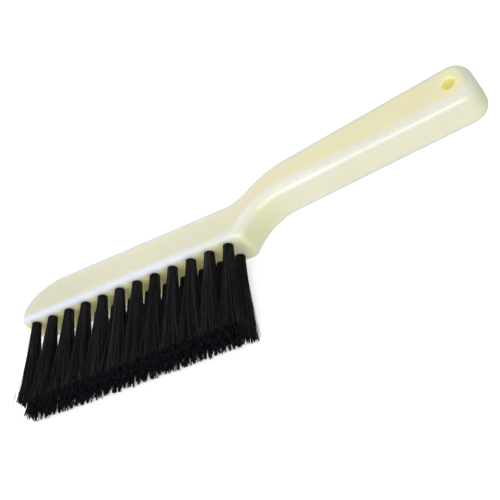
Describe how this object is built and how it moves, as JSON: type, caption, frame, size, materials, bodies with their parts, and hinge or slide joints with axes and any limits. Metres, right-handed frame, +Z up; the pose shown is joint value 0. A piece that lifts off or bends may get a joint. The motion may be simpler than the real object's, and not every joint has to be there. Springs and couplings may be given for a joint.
{
  "type": "bee brush",
  "caption": "Hand brush for sweeping bees off a comb: slim moulded head with rows of long soft tufts and a raised handle with a hang hole.",
  "frame": {"origin": "middle of the whole brush's footprint, on the surface that it lies on with one side face down", "axes": "+X from the toe of the head to the butt of the handle, +Y out of the back of the head so that the bristles point to -Y, +Z up across the width"},
  "size_m": [0.3068, 0.11, 0.026],
  "materials": {
    "body": "ivory moulded plastic, slightly translucent, glossy",
    "bristle": "black filament, fine strands with a soft sheen",
    "anchor": "plain drawn wire"
  },
  "bodies": {
    "root": {"brush_body": "body", "tuft_upper_01": "bristle", "tuft_upper_02": "bristle", "tuft_upper_03": "bristle", "tuft_upper_04": "bristle", "tuft_upper_05": "bristle", "tuft_upper_06": "bristle", "tuft_upper_07": "bristle", "tuft_upper_08": "bristle", "tuft_upper_09": "bristle", "tuft_upper_10": "bristle", "tuft_upper_11": "bristle", "tuft_upper_12": "bristle", "tuft_lower_01": "bristle", "tuft_lower_02": "bristle", "tuft_lower_03": "bristle", "tuft_lower_04": "bristle", "tuft_lower_05": "bristle", "tuft_lower_06": "bristle", "tuft_lower_07": "bristle", "tuft_lower_08": "bristle", "tuft_lower_09": "bristle", "tuft_lower_10": "bristle", "tuft_lower_11": "bristle", "tuft_lower_12": "bristle", "tuft_anchors": "anchor"}
  },
  "joints": []
}
